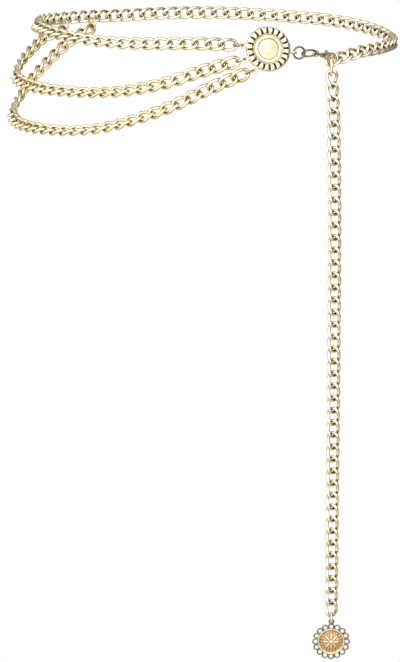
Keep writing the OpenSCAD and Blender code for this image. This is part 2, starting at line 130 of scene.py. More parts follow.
def chainPlaces(points):
    # link middles at equal steps along the route, each facing out of the body and leaning up
    curve = smoothRoute(points)
    along = np.concatenate([[0], np.cumsum(np.linalg.norm(np.diff(curve[:, :3], axis=0), axis=1))])
    count = math.ceil(along[-1] / curbLink["pitch"])
    at = np.linspace(0, along[-1], count + 1)
    middle = np.stack([np.interp(at, along, curve[:, k]) for k in range(3)], -1)
    lean = np.radians(np.interp(at, along, curve[:, 3]))[:, None]
    i = np.arange(count + 1)
    way = middle[np.minimum(i + 1, count)] - middle[np.maximum(i - 1, 0)]
    return place(middle, way, outward(middle) * np.cos(lean) + up * np.sin(lean))


def rightWay(turn, fall):
    # to the right in the photograph, turned towards the back and falling
    a, b = math.radians(turn), math.radians(fall)
    return np.array([math.cos(a) * math.cos(b), math.sin(a) * math.cos(b), -math.sin(b)])


linkHalf = (curbLink["length"] - curbLink["wire"]) / 2
linkSide = (curbLink["width"] - curbLink["wire"]) / 2
ringReach = linkHalf - (curbLink["wire"] + jumpRings["wire"]) / 2 - curbLink["gap"]
medallion = {
    "at": [344.6, 0, 5.6],
    "lean": 18.0,
    "diameter": 29.2,
    "plate": 1.0,
    "plateInset": 0.9,
    "petals": 20,
    "petalsFrom": 9.3,
    "petalRise": 1.7,
    "slot": 1.0,
    "slotFrom": [0.3, 0.7],  # from the rim's inner edge, where the slots start and where they are full
    "slotTo": [0.85, 0.6],  # from its outer edge, where they run out and end
    "slotFloor": 0.1,
    "slotFlat": 0.72,  # the floor's share of a slot's width
    "slotSide": 0.55,  # and how deep the slot's sides are, as a share of its depth
    "petalFlank": 0.72,  # the rim's height beside a slot as a share of its full height
    "petalRound": 0.96,  # how round a petal is across, where 1 is a half round
    "flankWide": 0.08,  # from a slot's edge to its petal's first row of points
    "flankTone": 0.5,  # painted shade on the petals' low sides
    "bandGap": 0.5,  # how much narrower the smooth band is than its seat
    "bandTall": 0.72,  # its height as a share of its width
    "bandLift": 0.45,
    "bandTone": 0.35,  # painted shade at its foot, which is gone between these heights
    "bandToneTo": [0.3, 0.95],
    "coin": 13.2,
    "coinRise": 1.5,
    "coinLift": 0.35,
    "coinSunk": 0.4,
    # the coin's relief, where each pair is two shares of its radius between which a form comes or goes
    "rays": 12,
    "rayFrom": [0.24, 0.38],
    "rayTo": [0.66, 0.76],
    "rayHeight": 0.12,
    # painted shade between the rays
    "rayTone": 0.22,
    "beadRing": [0.86, 0.06],  # but here the beads' place and half width
    "beadHeight": 0.09,
    "bossEdge": [0.12, 0.22],
    "bossHeight": 0.22,
    # painted shade at the coin's edge, growing between these shares of its radius
    "edgeFrom": [0.93, 1.0],
    "edgeTone": 0.6,
    "eyeWire": 1.2,
    "eyeHole": 2.4,
    "eyeSunk": 0.4,  # how far an eye's wire runs into the rim
    "eyes": {"waist": 170.0, "upper": 201.0, "lower": 233.0, "clasp": 350.0},
}
eyeRadius = (medallion["eyeHole"] + medallion["eyeWire"]) / 2
eyeOut = medallion["diameter"] / 2 + eyeRadius + medallion["eyeWire"] / 2 - medallion["eyeSunk"]
medalMiddle = onBody(medallion["at"])[0]
medalLean = math.radians(medallion["lean"])
medalPlace = place(medalMiddle, np.cross(up, outward(medalMiddle)),
                   outward(medalMiddle) * math.cos(medalLean) + up * math.sin(medalLean))


def eyeMiddle(name):
    a = math.radians(medallion["eyes"][name])
    return medalMiddle + eyeOut * (medalPlace[1] * math.cos(a) + medalPlace[2] * math.sin(a))


def strandEnd(name, row):
    # where a strand's last link is centred, past its jump ring
    eye = eyeMiddle(name)
    return eye + (jumpRings["strand"] - jumpRings["wire"] + ringReach) * unit(onBody(row)[0] - eye)


clasp = {
    "reach": 12.0,
    "hookHole": 4.4,
    "hookWire": 1.6,
    "ringsTurn": 16.0,
    "ringsFall": 5.0,
    "turn": 24.0,
    "fall": 18.0,
    "gripRoom": 0.98,
    "gripBack": 0.35,
    "gripTurn": 2.7,
    "gripWire": 1.94,  # thinner than the chain's, so the lever clears it when it opens
    "waistEnd": [3.0, 2.6, 3.7],  # right of, behind and above the gripped link's middle
    "waistEndLean": 53.0,
}
# From the medallion's right eye through both rings to the clasp and the link that it grips
ringsWay = rightWay(clasp["ringsTurn"], clasp["ringsFall"])
ringARadius = (jumpRings["claspA"] - jumpRings["wire"]) / 2
ringBRadius = (jumpRings["claspB"] - jumpRings["wire"]) / 2
ringAMiddle = eyeMiddle("clasp") + ringARadius * ringsWay
ringBMiddle = ringAMiddle + (ringARadius + ringBRadius - jumpRings["wire"] - curbLink["gap"]) * ringsWay
claspFront = rightWay(clasp["turn"] - 90, 0)
claspRight = rightWay(clasp["turn"], 0)
hookRadius = (clasp["hookHole"] + clasp["hookWire"]) / 2
hookMiddle = ringBMiddle + ringBRadius * ringsWay + clasp["reach"] * rightWay(clasp["turn"], clasp["fall"])
gripDrop = hookRadius + linkHalf - (clasp["hookWire"] + curbLink["wire"]) / 2 - clasp["gripRoom"]
gripMiddle = hookMiddle - clasp["gripBack"] * claspFront - gripDrop * up
right, behind, above = clasp["waistEnd"]
waistEnd = gripMiddle + right * claspRight - behind * claspFront + above * up

waistRoute = routed(waistLoop["route"])
waistStart = strandEnd("waist", waistLoop["route"][0])
waistPlaces = chainPlaces([np.append(waistStart, 0), *waistRoute, np.append(waistEnd, clasp["waistEndLean"])])


drapes = {
    # rows as in the waist loop's route, from the hip round to the front
    "upperRoute": [
        [113, 6, -14.6, 20], [105, 7.6, -20.8, 16], [96, 11, -28, 15], [86, 13, -34, 21],
        [76, 11.6, -35.2, 33], [64, 9, -35, 48], [52, 6, -33.6, 62], [40, 5, -31.2, 68],
        [28, 4, -27, 62], [16, 2, -19.8, 46], [6, 0, -11.4, 24],
    ],
    "lowerRoute": [
        [127.5, 1.6, -17, 20], [122, 4, -23.8, 14], [115, 7, -33, 12], [107, 10.4, -43, 12],
        [99, 13.4, -52.6, 16], [90, 15.6, -59.2, 25], [80, 14.8, -62.6, 37], [70, 13, -62.5, 51],
        [58, 10, -60.8, 64], [46, 7, -57.8, 68], [34, 5, -52, 66], [22, 3, -42.3, 56],
        [12, 1, -32.5, 42], [3, 0, -22, 20],
    ],
    "upperHang": 121.0,  # degrees round the body where the upper drape hangs
    "hangApart": 13.0,  # and how much further round the lower one does
    "ring": 9.0,
    "ringOut": 13.5,  # the junction rings' lean out of the vertical
    "ringRoom": 0.2,
    "firstLean": 28.0,  # backward tilt of the drapes' first links on the hip
    "lastLean": 4.0,
}


def drapePlaces(hang, route, eye):
    # the ring goes round the lower side of one waist link, and the drape starts at the ring's far side
    half = waistPlaces[:round(len(waistPlaces) / 2) + 1, 0]
    link = waistPlaces[int((azimuth(half) < hang).sum()), 0]
    lean = math.radians(drapes["ringOut"])
    way = outward(link) * math.sin(lean) - up * math.cos(lean)
    seat = (curbLink["wire"] + jumpRings["wire"]) / 2 + curbLink["gap"] + drapes["ringRoom"]
    far = link - linkSide * up + (drapes["ring"] - jumpRings["wire"] - seat) * way
    rows = routed(route)
    start = far + ringReach * unit(rows[0][:3] - far)
    end = strandEnd(eye, route[-1])
    return chainPlaces([np.append(start, drapes["firstLean"]), *rows, np.append(end, drapes["lastLean"])])


upperPlaces = drapePlaces(drapes["upperHang"], drapes["upperRoute"], "upper")
lowerPlaces = drapePlaces(drapes["upperHang"] + drapes["hangApart"], drapes["lowerRoute"], "lower")


# slant and turn of the tail's top, and the number of links in which each dies out
tail = {"links": 45, "slant": 4.0, "slantLinks": 6, "turn": 35.0, "turnLinks": 3}


def tailPlaces():
    # the tail leaves the clasp at a slant that dies out as the links hang
    slant = np.radians(tail["slant"] * np.exp(-np.arange(tail["links"]) / tail["slantLinks"]))
    way = np.stack([np.sin(slant), 0 * slant, -np.cos(slant)], -1)
    middle = gripMiddle + curbLink["pitch"] * np.concatenate([np.zeros((1, 3)), np.cumsum(way[:-1], axis=0)])
    turn = np.radians(tail["turn"] * np.exp(-np.arange(tail["links"]) / tail["turnLinks"]))[:-1]
    return place(middle[1:], way[1:], np.stack([np.sin(turn), -np.cos(turn), 0 * turn], -1))


gripPlace = place(gripMiddle, -up, rightWay(clasp["gripTurn"], 0))[None]
print("routes:", len(waistPlaces), len(upperPlaces), len(lowerPlaces), tail["links"], "links")


def ringedForm(rings, loop, paintedShade=None):
    # closed forms from an array of copies, rings, points round a ring, and x, y, z
    # a looped form joins its last ring to its first, and any other is closed by a fan at each end
    copies, count, around, _ = rings.shape
    # each point's painted shade, none where it is not given
    paintedShade = np.zeros(rings.shape[:3]) if paintedShade is None else np.broadcast_to(paintedShade, rings.shape[:3])
    i = np.arange(count if loop else count - 1)[:, None]
    j = np.arange(around)[None]
    nextRing, nextPoint = (i + 1) % count, (j + 1) % around
    here, there = i * around, nextRing * around
    quads = np.stack([here + j, here + nextPoint, there + nextPoint, there + j], -1).reshape(-1, 4)
    verts, shadeTone = rings.reshape(copies, -1, 3), paintedShade.reshape(copies, -1)
    fans = np.zeros((0, 3), int)
    if not loop:
        ends = rings[:, [0, -1]].mean(2)
        verts = np.concatenate([verts, ends], 1)
        shadeTone = np.concatenate([shadeTone, paintedShade[:, [0, -1]].mean(2)], 1)
        k = np.arange(around)
        first, last = count * around, count * around + 1
        base = (count - 1) * around
        fans = np.concatenate([
            np.stack([np.full(around, first), (k + 1) % around, k], -1),
            np.stack([np.full(around, last), base + k, base + (k + 1) % around], -1),
        ])
    triangles = np.concatenate([quads[:, [0, 1, 2]], quads[:, [0, 2, 3]], fans])
    corners = verts[0][triangles]
    volume = np.einsum("ij,ij->", corners[:, 0], np.cross(corners[:, 1], corners[:, 2]))
    if volume < 0:  # the faces would point inwards
        quads, fans = quads[:, ::-1], fans[:, ::-1]
    shift = (np.arange(copies) * verts.shape[1])[:, None, None]
    quads, fans = (quads + shift).reshape(-1, 4), (fans + shift).reshape(-1, 3)
    return verts.reshape(-1, 3), quads, fans, shadeTone.reshape(-1)


def putAt(points, places):
    # the same points at each place: its origin plus x, y and z times its three directions
    places = np.asarray(places).reshape(-1, 4, 3)
    moved = np.einsum("...a,cab->c...b", points, places[:, 1:])
    return moved + places[:, 0].reshape(-1, *([1] * (points.ndim - 1)), 3)


def makePiece(name, forms, material, body="chain", stands=()):
    # joins the forms into one smooth mesh in metres, which rides on its body
    verts, faces, shadeTone, start = [], [], [], 0
    for points, quads, fans, paintedShade in forms:
        verts.append(points * millimetre)
        shadeTone.append(paintedShade)
        faces += (quads + start).tolist() + (fans + start).tolist()
        start += len(points)
    mesh = bpy.data.meshes.new(name)
    mesh.from_pydata(np.concatenate(verts).tolist(), [], faces)
    # each point's painted shade, kept as a mesh attribute that the materials read
    shadeAttribute = mesh.attributes.new("paintedShade", "FLOAT", "POINT")
    shadeAttribute.data.foreach_set("value", np.concatenate(shadeTone).astype(np.float32))
    mesh.polygons.foreach_set("use_smooth", np.ones(len(faces), bool))
    mesh.update()
    piece = bpy.data.objects.new(name, mesh)
    bpy.context.scene.collection.objects.link(piece)
    mesh.materials.append(material)
    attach(piece, body)
    if stands:
        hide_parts(*stands)
    print("piece:", name, len(faces), "faces")
    return piece


def wireAlong(path, ways, radius, sides, side):
    # rings of round wire along a closed path: each ring is square to the path's way, and side is
    # any direction that the way never takes
    u = unit(np.cross(ways, side))
    v = np.cross(ways, u)
    w = np.linspace(0, 2 * np.pi, sides, endpoint=False)[None, :, None]
    return path[:, None] + radius * (u[:, None] * np.cos(w) + v[:, None] * np.sin(w))


def curbRings(rise, wire):
    # one curb link: the oval (a cos t, b sin t) whose wire rises and falls by rise times sin 2t
    t = np.linspace(0, 2 * np.pi, curbLink["around"], endpoint=False)
    path = np.stack([linkHalf * np.cos(t), linkSide * np.sin(t), rise * np.sin(2 * t)], -1)
    way = unit(np.stack([-linkHalf * np.sin(t), linkSide * np.cos(t), 2 * rise * np.cos(2 * t)], -1))
    rings = wireAlong(path, way, wire / 2, curbLink["sides"], up)
    middle = path[:, None]
    inner = -((rings - middle)[..., :2] * middle[..., :2]).sum(-1) / np.linalg.norm(middle[..., :2], axis=-1)
    # painted shade on the wire's inner side, strongest at the link's ends, where the links hang in one
    # another
    atEnd = np.cos(t)[:, None] ** 2
    innerShade = np.clip(curbLink["innerShadeFrom"] + curbLink["innerShadeGain"] * inner / (wire / 2), 0, 1)
    innerShade = innerShade * (curbLink["sideShare"] + (1 - curbLink["sideShare"]) * atEnd)
    # painted shade: the wire that passes beneath its neighbour is dark on the side that faces it
    facing = (rings - middle)[..., 2] / (wire / 2)
    beneath = -curbLink["beneathGain"] * facing * np.sin(2 * t)[:, None] * np.sign(rise)
    return rings, np.maximum(innerShade, curbLink["beneath"] * np.clip(beneath, 0, 1))


def chainForms(places, rise=curbLink["rise"], wire=curbLink["wire"]):
    rings, paintedShade = curbRings(rise, wire)
    return ringedForm(putAt(rings, places), True, paintedShade[None])


def torusRings(radius, wire, around=32, sides=10, tall=1.0):
    # a wire ring in the x and y plane, whose wire is tall times as high as it is wide
    t = np.linspace(0, 2 * np.pi, around, endpoint=False)
    path = np.stack([radius * np.cos(t), radius * np.sin(t), 0 * t], -1)
    way = np.stack([-np.sin(t), np.cos(t), 0 * t], -1)
    return wireAlong(path, way, wire / 2, sides, up) * [1, 1, tall]


def turnedRings(profile, around):
    # a turned form: each row of the profile is a radius and a height, carried round the z axis
    profile = np.asarray(profile, float)
    a = np.linspace(0, 2 * np.pi, around, endpoint=False)
    r, z = profile[:, :1], profile[:, 1:]
    return np.stack([r * np.cos(a), r * np.sin(a), z + 0 * a], -1)


def smoothStep(low, high, x):
    # 3 t squared less 2 t cubed, with t from 0 at low to 1 at high
    t = np.clip((x - low) / (high - low), 0, 1)
    return t * t * (3 - 2 * t)


# Materials: polished metal, darkened to brown by painted shade in its hollows and where its parts cross
def link(tree, out, into):
    tree.links.new(out, into)


def goldMaterial(name, look):
    # two golds mixed by soft noise, darkened to brown by the painted shade attribute, with fine polishing
    # marks as bump
    material = bpy.data.materials.new(name)
    material.use_nodes = True
    tree = material.node_tree
    shader = tree.nodes["Principled BSDF"]
    shader.inputs["Metallic"].default_value = 1.0
    coordinates = tree.nodes.new("ShaderNodeTexCoord")
    cloud = tree.nodes.new("ShaderNodeTexNoise")
    cloud.inputs["Scale"].default_value = look["cloudScale"]
    cloud.inputs["Detail"].default_value = 3
    link(tree, coordinates.outputs["Object"], cloud.inputs["Vector"])
    golds = tree.nodes.new("ShaderNodeValToRGB")
    golds.color_ramp.elements[0].position = 0.35
    golds.color_ramp.elements[1].position = 0.65
    golds.color_ramp.elements[0].color = (*look["deep"], 1)
    golds.color_ramp.elements[1].color = (*look["pale"], 1)
    link(tree, cloud.outputs["Fac"], golds.inputs["Fac"])
    # the painted shade mixes each finish's brown into its gold
    paintedShade = tree.nodes.new("ShaderNodeAttribute")
    paintedShade.attribute_name = "paintedShade"
    amount = tree.nodes.new("ShaderNodeMath")
    amount.operation = "MULTIPLY"
    amount.inputs[1].default_value = look["shadeStrength"]
    link(tree, paintedShade.outputs["Fac"], amount.inputs[0])
    mix = tree.nodes.new("ShaderNodeMix")
    mix.data_type = "RGBA"
    link(tree, amount.outputs["Value"], mix.inputs["Factor"])
    link(tree, golds.outputs["Color"], mix.inputs["A"])
    mix.inputs["B"].default_value = (*look["shadeBrown"], 1)
    link(tree, mix.outputs["Result"], shader.inputs["Base Color"])
    marks = tree.nodes.new("ShaderNodeTexNoise")
    marks.inputs["Scale"].default_value = look["markScale"]
    marks.inputs["Detail"].default_value = 2
    link(tree, coordinates.outputs["Object"], marks.inputs["Vector"])
    rough = tree.nodes.new("ShaderNodeMapRange")
    rough.inputs["To Min"].default_value = look["roughFrom"]
    rough.inputs["To Max"].default_value = look["roughTo"]
    link(tree, marks.outputs["Fac"], rough.inputs["Value"])
    link(tree, rough.outputs["Result"], shader.inputs["Roughness"])
    bump = tree.nodes.new("ShaderNodeBump")
    bump.inputs["Strength"].default_value = look["bump"]
    bump.inputs["Distance"].default_value = 0.1 * millimetre
    link(tree, marks.outputs["Fac"], bump.inputs["Height"])
    link(tree, bump.outputs["Normal"], shader.inputs["Normal"])
    return material


# the brown of each finish is the colour of its painted shade, and the number after it says how strong that
# shade is
finishes = {
    "polishedGold": {
        "deep": (0.94, 0.82, 0.56), "pale": (1.0, 0.96, 0.80), "shadeBrown": (0.09, 0.065, 0.025), "shadeStrength": 1.0,
        "cloudScale": 90, "markScale": 1400, "roughFrom": 0.14, "roughTo": 0.26, "bump": 0.10,
    },
    "warmGold": {
        "deep": (0.92, 0.74, 0.42), "pale": (1.0, 0.92, 0.68), "shadeBrown": (0.13, 0.08, 0.025), "shadeStrength": 1.0,
        "cloudScale": 90, "markScale": 1400, "roughFrom": 0.14, "roughTo": 0.26, "bump": 0.10,
    },
    # a dark copy of the gold: painted shade, for the clasp's rings and pin
    "shadedGold": {
        "deep": (0.17, 0.15, 0.11), "pale": (0.32, 0.28, 0.21), "shadeBrown": (0.12, 0.10, 0.06), "shadeStrength": 0.5,
        "cloudScale": 120, "markScale": 1800, "roughFrom": 0.12, "roughTo": 0.24, "bump": 0.10,
    },
    # dark gold patched with pale by coarse noise: a painted dark reflection with painted highlight streaks
    "claspGold": {
        "deep": (0.26, 0.20, 0.10), "pale": (0.92, 0.82, 0.58), "shadeBrown": (0.12, 0.08, 0.03), "shadeStrength": 0.5,
        "cloudScale": 420, "markScale": 1400, "roughFrom": 0.16, "roughTo": 0.30, "bump": 0.10,
    },
    "castGold": {
        "deep": (0.84, 0.74, 0.51), "pale": (0.92, 0.87, 0.71), "shadeBrown": (0.04, 0.025, 0.01), "shadeStrength": 1.0,
        "cloudScale": 160, "markScale": 1100, "roughFrom": 0.20, "roughTo": 0.34, "bump": 0.10,
    },
    "coinGold": {
        "deep": (0.80, 0.75, 0.52), "pale": (0.93, 0.89, 0.66), "shadeBrown": (0.34, 0.27, 0.12), "shadeStrength": 1.0,
        "cloudScale": 260, "markScale": 1100, "roughFrom": 0.50, "roughTo": 0.62, "bump": 0.08,
    },
    "matteGold": {
        "deep": (0.76, 0.60, 0.39), "pale": (0.92, 0.78, 0.56), "shadeBrown": (0.34, 0.22, 0.11), "shadeStrength": 0.8,
        "cloudScale": 200, "markScale": 1500, "roughFrom": 0.48, "roughTo": 0.62, "bump": 0.16,
    },
    # a dark copy of the gold: painted shade, for the pendant's loops
    "shadedWire": {
        "deep": (0.15, 0.13, 0.095), "pale": (0.30, 0.26, 0.20), "shadeBrown": (0.12, 0.09, 0.06), "shadeStrength": 0.5,
        "cloudScale": 200, "markScale": 1500, "roughFrom": 0.16, "roughTo": 0.30, "bump": 0.16,
    },
}
gold = {name: goldMaterial(name, look) for name, look in finishes.items()}
print("materials:", ", ".join(gold))

polished, warm = gold["polishedGold"], gold["warmGold"]
gripForm = chainForms(gripPlace, 0.0, clasp["gripWire"])
makePiece("waistChain", [chainForms(waistPlaces)], polished, stands=["waist_chain"])
makePiece("tailChain", [gripForm, chainForms(tailPlaces())], polished, stands=["tail_chain"])
makePiece("upperDrape", [chainForms(upperPlaces)], warm, stands=["drape_upper"])
makePiece("lowerDrape", [chainForms(lowerPlaces)], warm, stands=["drape_lower"])


def rimForm():
    # the petalled rim as heights over rings of points: a half-round ring, cut by slots between its petals
    # each sector holds the same steps across one slot and one petal, whatever the radius
    inner, outer, plate = medallion["petalsFrom"], medallion["diameter"] / 2, medallion["plate"]
    u = np.concatenate([[-1, -0.97, -0.9], np.linspace(-0.8, 0.7, 13), [0.76, 0.8, 0.88, 0.96, 1]])[:, None]
    radius = (inner + outer) / 2 + (outer - inner) / 2 * u
    crown = (medallion["petalRise"] + plate / 2) * np.sqrt(1 - u ** 2) - plate / 2
    half = np.pi * radius / medallion["petals"]
    flat, side = medallion["slotFlat"], medallion["slotSide"]
    inSlot = np.array([-1, -flat, 0, flat, 1]) * medallion["slot"] / 2
    q = np.linspace(-1, 1, 9)
    petalFrom = medallion["slot"] / 2 + medallion["flankWide"]
    petal = petalFrom + (q + 1) * (half - petalFrom)
    across = np.concatenate([inSlot + 0 * radius, petal], 1)
    starts, full = inner + np.array(medallion["slotFrom"])
    runsOut, ends = outer - np.array(medallion["slotTo"])
    floor = smoothStep(starts, full, radius) * (1 - smoothStep(runsOut, ends, radius))
    slot = np.concatenate([[side, 1, 1, 1, side], 0 * q])[None] * floor
    flank = medallion["petalFlank"]
    bowed = flank + (1 - flank) * np.sqrt(1 - medallion["petalRound"] * q ** 2)
    rounded = np.concatenate([np.full(len(inSlot), flank), bowed])[None]
    height = crown * (1 - floor * (1 - rounded))
    low = medallion["slotFloor"]
    height = height + (low - height) * slot * (height > low)
    sector = 2 * np.pi * np.arange(medallion["petals"]) / medallion["petals"]
    angle = (sector[None, :, None] + (across / radius)[:, None]).reshape(len(u), -1)
    top = np.stack([radius * np.cos(angle), radius * np.sin(angle), np.tile(height, medallion["petals"])], -1)
    # painted shade in the slots and on the petals' low sides beside them
    tone = slot * (crown > low) + medallion["flankTone"] * (1 - rounded) * floor
    shadeTone = np.tile(np.clip(tone, 0, 1), medallion["petals"])
    back, turn = radius[::-1], angle[::-1]
    under = np.stack([back * np.cos(turn), back * np.sin(turn), 0 * turn - plate / 2], -1)
    rings = np.concatenate([top, under[1:-1:6]])
    return ringedForm(rings[None], True, np.concatenate([shadeTone, 0 * angle[1:-1:6]])[None])


def coinForm():
    # the coin: a shallow dome with rays, a beaded edge and a round boss, and a flat underside
    edge = medallion["coin"] / 2
    r = np.linspace(0.02, 1, 34)[:, None]
    a = np.linspace(0, 2 * np.pi, 144, endpoint=False)[None]
    rays = np.cos(medallion["rays"] * a)
    leaf = smoothStep(*medallion["rayFrom"], r) * (1 - smoothStep(*medallion["rayTo"], r))
    beadsAt, beadsWide = medallion["beadRing"]
    beads = np.exp(-((r - beadsAt) / beadsWide) ** 2) * (0.55 + 0.45 * np.cos(4 * medallion["rays"] * a))
    boss = 1 - smoothStep(*medallion["bossEdge"], r)
    relief = medallion["rayHeight"] * leaf * rays * (1.2 - r) + medallion["beadHeight"] * beads
    relief = relief + medallion["bossHeight"] * boss
    dome = medallion["coinRise"] * (1 - r ** 2) + medallion["coinLift"]
    top = np.stack([edge * r * np.cos(a), edge * r * np.sin(a), dome + relief], -1)
    # painted shade between the rays, at the edge and on the underside
    paintedShade = medallion["rayTone"] * leaf * (0.5 - 0.5 * rays)
    paintedShade = np.clip(paintedShade + medallion["edgeTone"] * smoothStep(*medallion["edgeFrom"], r), 0, 1)
    under = np.stack([edge * np.cos(a), edge * np.sin(a), 0 * a - medallion["coinSunk"]], -1)
    return ringedForm(np.concatenate([top, under])[None], False, np.concatenate([paintedShade, 0 * a + 1])[None])


def medallionForms():
    plate = medallion["plate"]
    outer = medallion["diameter"] / 2 - medallion["plateInset"]
    # the plate's outline with rounded edges, from its back round to its front
    profile = [[0.5, -plate], [outer - 0.3, -plate], [outer, -plate + 0.25], [outer, -0.35],
               [outer - 0.25, -0.1], [outer - 0.5, 0], [medallion["petalsFrom"], 0], [0.5, 0]]
    disc = turnedRings(profile, 96)
    # painted shade on the plate's front face and rounded edge, which lie under the rim
    discShade = np.repeat(np.array([0, 0, 0.1, 0.6, 0.9, 1, 0.6, 0.6])[:, None], 96, 1)
    forms = [ringedForm(putAt(disc, medalPlace), False, discShade[None])]
    verts, quads, fans, shadeTone = rimForm()
    forms.append((putAt(verts, medalPlace)[0], quads, fans, shadeTone))
    seat = (medallion["petalsFrom"] + medallion["coin"] / 2) / 2
    width = medallion["petalsFrom"] - medallion["coin"] / 2 - medallion["bandGap"]
    band = torusRings(seat, width, 96, 14, medallion["bandTall"]) + [0, 0, medallion["bandLift"]]
    # painted shade at the band's foot, where it meets the plate
    bandShade = medallion["bandTone"] * (1 - smoothStep(*medallion["bandToneTo"], band[..., 2]))
    forms.append(ringedForm(putAt(band, medalPlace), True, bandShade[None]))
    eye = torusRings(eyeRadius, medallion["eyeWire"], 28, 10)
    for name in medallion["eyes"]:
        way = unit(eyeMiddle(name) - medalMiddle)
        axis = np.cross(way, medalPlace[3]) if name == "clasp" else medalPlace[3]
        forms.append(ringedForm(putAt(eye, place(eyeMiddle(name), way, axis)), True))
    return forms


makePiece("medallionRim", medallionForms(), gold["castGold"], stands=["medallion"])
verts, quads, fans, shadeTone = coinForm()
coin = (putAt(verts, medalPlace)[0], quads, fans, shadeTone)
makePiece("medallionCoin", [coin], gold["coinGold"], stands=["medallion"])

pendant = {
    "diameter": 25.6,
    "loops": 16,
    "loopWire": 1.0,
    "loopBite": 0.38,  # how far each loop runs into its neighbours
    "hubWire": 1.3,
    "hubBite": 0.3,  # how far the hub's hoop runs into the loops
    "lowHoop": [0.3, 0.4],  # how far the second hoop is inside the first, and above the dome's underside
    "domeRise": 2.6,
    "relief": 0.5,
    # count, start and end on the dome as shares of its radius, half width, height as a share of the relief
    "petals": [8, 0.16, 0.70, 0.095, 1.0],
    "leaves": [8, 0.42, 0.72, 0.045, 0.7],
    "grains": [20, 0.735, 0.875, 0.068, 0.9],
    "boss": [0.17, 1.9],  # radius and height
    "toneFade": 1.5,  # how fast the painted shade fades up the relief
    "edgeFrom": [0.88, 0.95],  # from which to which share of the radius it fades towards the edge
    "edgeLess": 0.4,  # and by how much
    "bailRadius": 1.5,
    "bailWire": 1.1,
    "bailSunk": 0.15,
    "seatRoom": 0.3,
}
lastLink = tailPlaces()[-1, 0]
pendantRingRadius = (jumpRings["pendant"] - jumpRings["wire"]) / 2
pendantSeat = (curbLink["wire"] + jumpRings["wire"]) / 2 + curbLink["gap"] + pendant["seatRoom"]
pendantRingMiddle = lastLink + (pendantSeat - linkHalf - pendantRingRadius) * up
bailSeat = (jumpRings["wire"] + pendant["bailWire"]) / 2 + curbLink["gap"]
bailMiddle = pendantRingMiddle + (bailSeat - pendantRingRadius - pendant["bailRadius"]) * up
bailAt = pendant["diameter"] / 2 + pendant["bailRadius"] - pendant["bailSunk"]
pendantPlace = place(bailMiddle - bailAt * up, [1, 0, 0], [0, -1, 0])
loopPart = math.sin(math.pi / pendant["loops"])
loopSpan = (pendant["diameter"] - pendant["loopWire"]) * loopPart
loopRadius = (loopSpan + pendant["loopBite"] - pendant["loopWire"]) / (2 + 2 * loopPart)
loopsAt = pendant["diameter"] / 2 - loopRadius - pendant["loopWire"] / 2
hubRadius = loopsAt - loopRadius - pendant["loopWire"] / 2 + pendant["hubBite"]


def flowerForm():
    # the pendant's dome, a cap of a large ball, with a flower of petals, a boss, small leaves between
    # the petals and a ring of grains: each is a round-topped height over the dome
    rise, hub = pendant["domeRise"], hubRadius
    ball = (hub ** 2 + rise ** 2) / (2 * rise)
    r = np.linspace(0.02, 1, 60)[:, None]
    a = np.linspace(0, 2 * np.pi, 240, endpoint=False)[None]

    def bars(row, turn=0.0):
        # half an ellipsoid along each of the row's spokes
        count, low, high, wide, tall = row
        step = 2 * np.pi / count
        off = (a - turn + step / 2) % step - step / 2
        length = np.clip(1 - ((2 * r - low - high) / (high - low)) ** 2, 0, 1)
        return tall * np.sqrt(np.clip(length - (off * r / wide) ** 2, 0, 1))

    leaves = bars(pendant["leaves"], np.pi / pendant["leaves"][0])
    bossRadius, bossHeight = pendant["boss"]
    boss = bossHeight * np.sqrt(np.clip(1 - (r / bossRadius) ** 2, 0, 1)) + 0 * a
    relief = np.maximum.reduce([bars(pendant["petals"]), leaves, bars(pendant["grains"]), boss])
    height = np.sqrt(ball ** 2 - (hub * r) ** 2) - ball + rise / 2 + pendant["relief"] * relief
    top = np.stack([hub * r * np.cos(a), hub * r * np.sin(a), height], -1)
    # painted shade in the low ground between the relief, less towards the edge
    shadeTone = np.clip(1 - pendant["toneFade"] * relief, 0, 1)
    shadeTone = shadeTone * (1 - pendant["edgeLess"] * smoothStep(*pendant["edgeFrom"], r))
    back = r[::-12] + 0 * a
    under = np.stack([hub * back * np.cos(a), hub * back * np.sin(a), 0 * back - rise / 2], -1)
    return ringedForm(np.concatenate([top, under])[None], False, np.concatenate([shadeTone, 0 * back])[None])


def pendantMiddle():
    verts, quads, fans, shadeTone = flowerForm()
    forms = [(putAt(verts, pendantPlace)[0], quads, fans, shadeTone)]
    inside, above = pendant["lowHoop"]
    for radius, lift in ((hubRadius, 0), (hubRadius - inside, above - pendant["domeRise"] / 2)):
        hoop = torusRings(radius, pendant["hubWire"], 96, 10) + [0, 0, lift]
        forms.append(ringedForm(putAt(hoop, pendantPlace), True))
    return forms


def pendantLoops():
    turns = np.pi / 2 + 2 * np.pi * np.arange(pendant["loops"]) / pendant["loops"]
    spokes = np.stack([np.cos(turns), np.sin(turns), 0 * turns], -1)
    loops = putAt(torusRings(loopRadius, pendant["loopWire"], 24, 8), place(loopsAt * spokes, spokes, up))
    bail = torusRings(pendant["bailRadius"], pendant["bailWire"], 28, 10) + [0, bailAt, 0]
    return [ringedForm(putAt(loops, pendantPlace)[0], True), ringedForm(putAt(bail, pendantPlace), True)]


makePiece("flowerMiddle", pendantMiddle(), gold["matteGold"], "drop", ["pendant"])
# the loops take a dark copy of the gold, painted shade
makePiece("flowerLoops", pendantLoops(), gold["shadedWire"], "drop", ["pendant"])

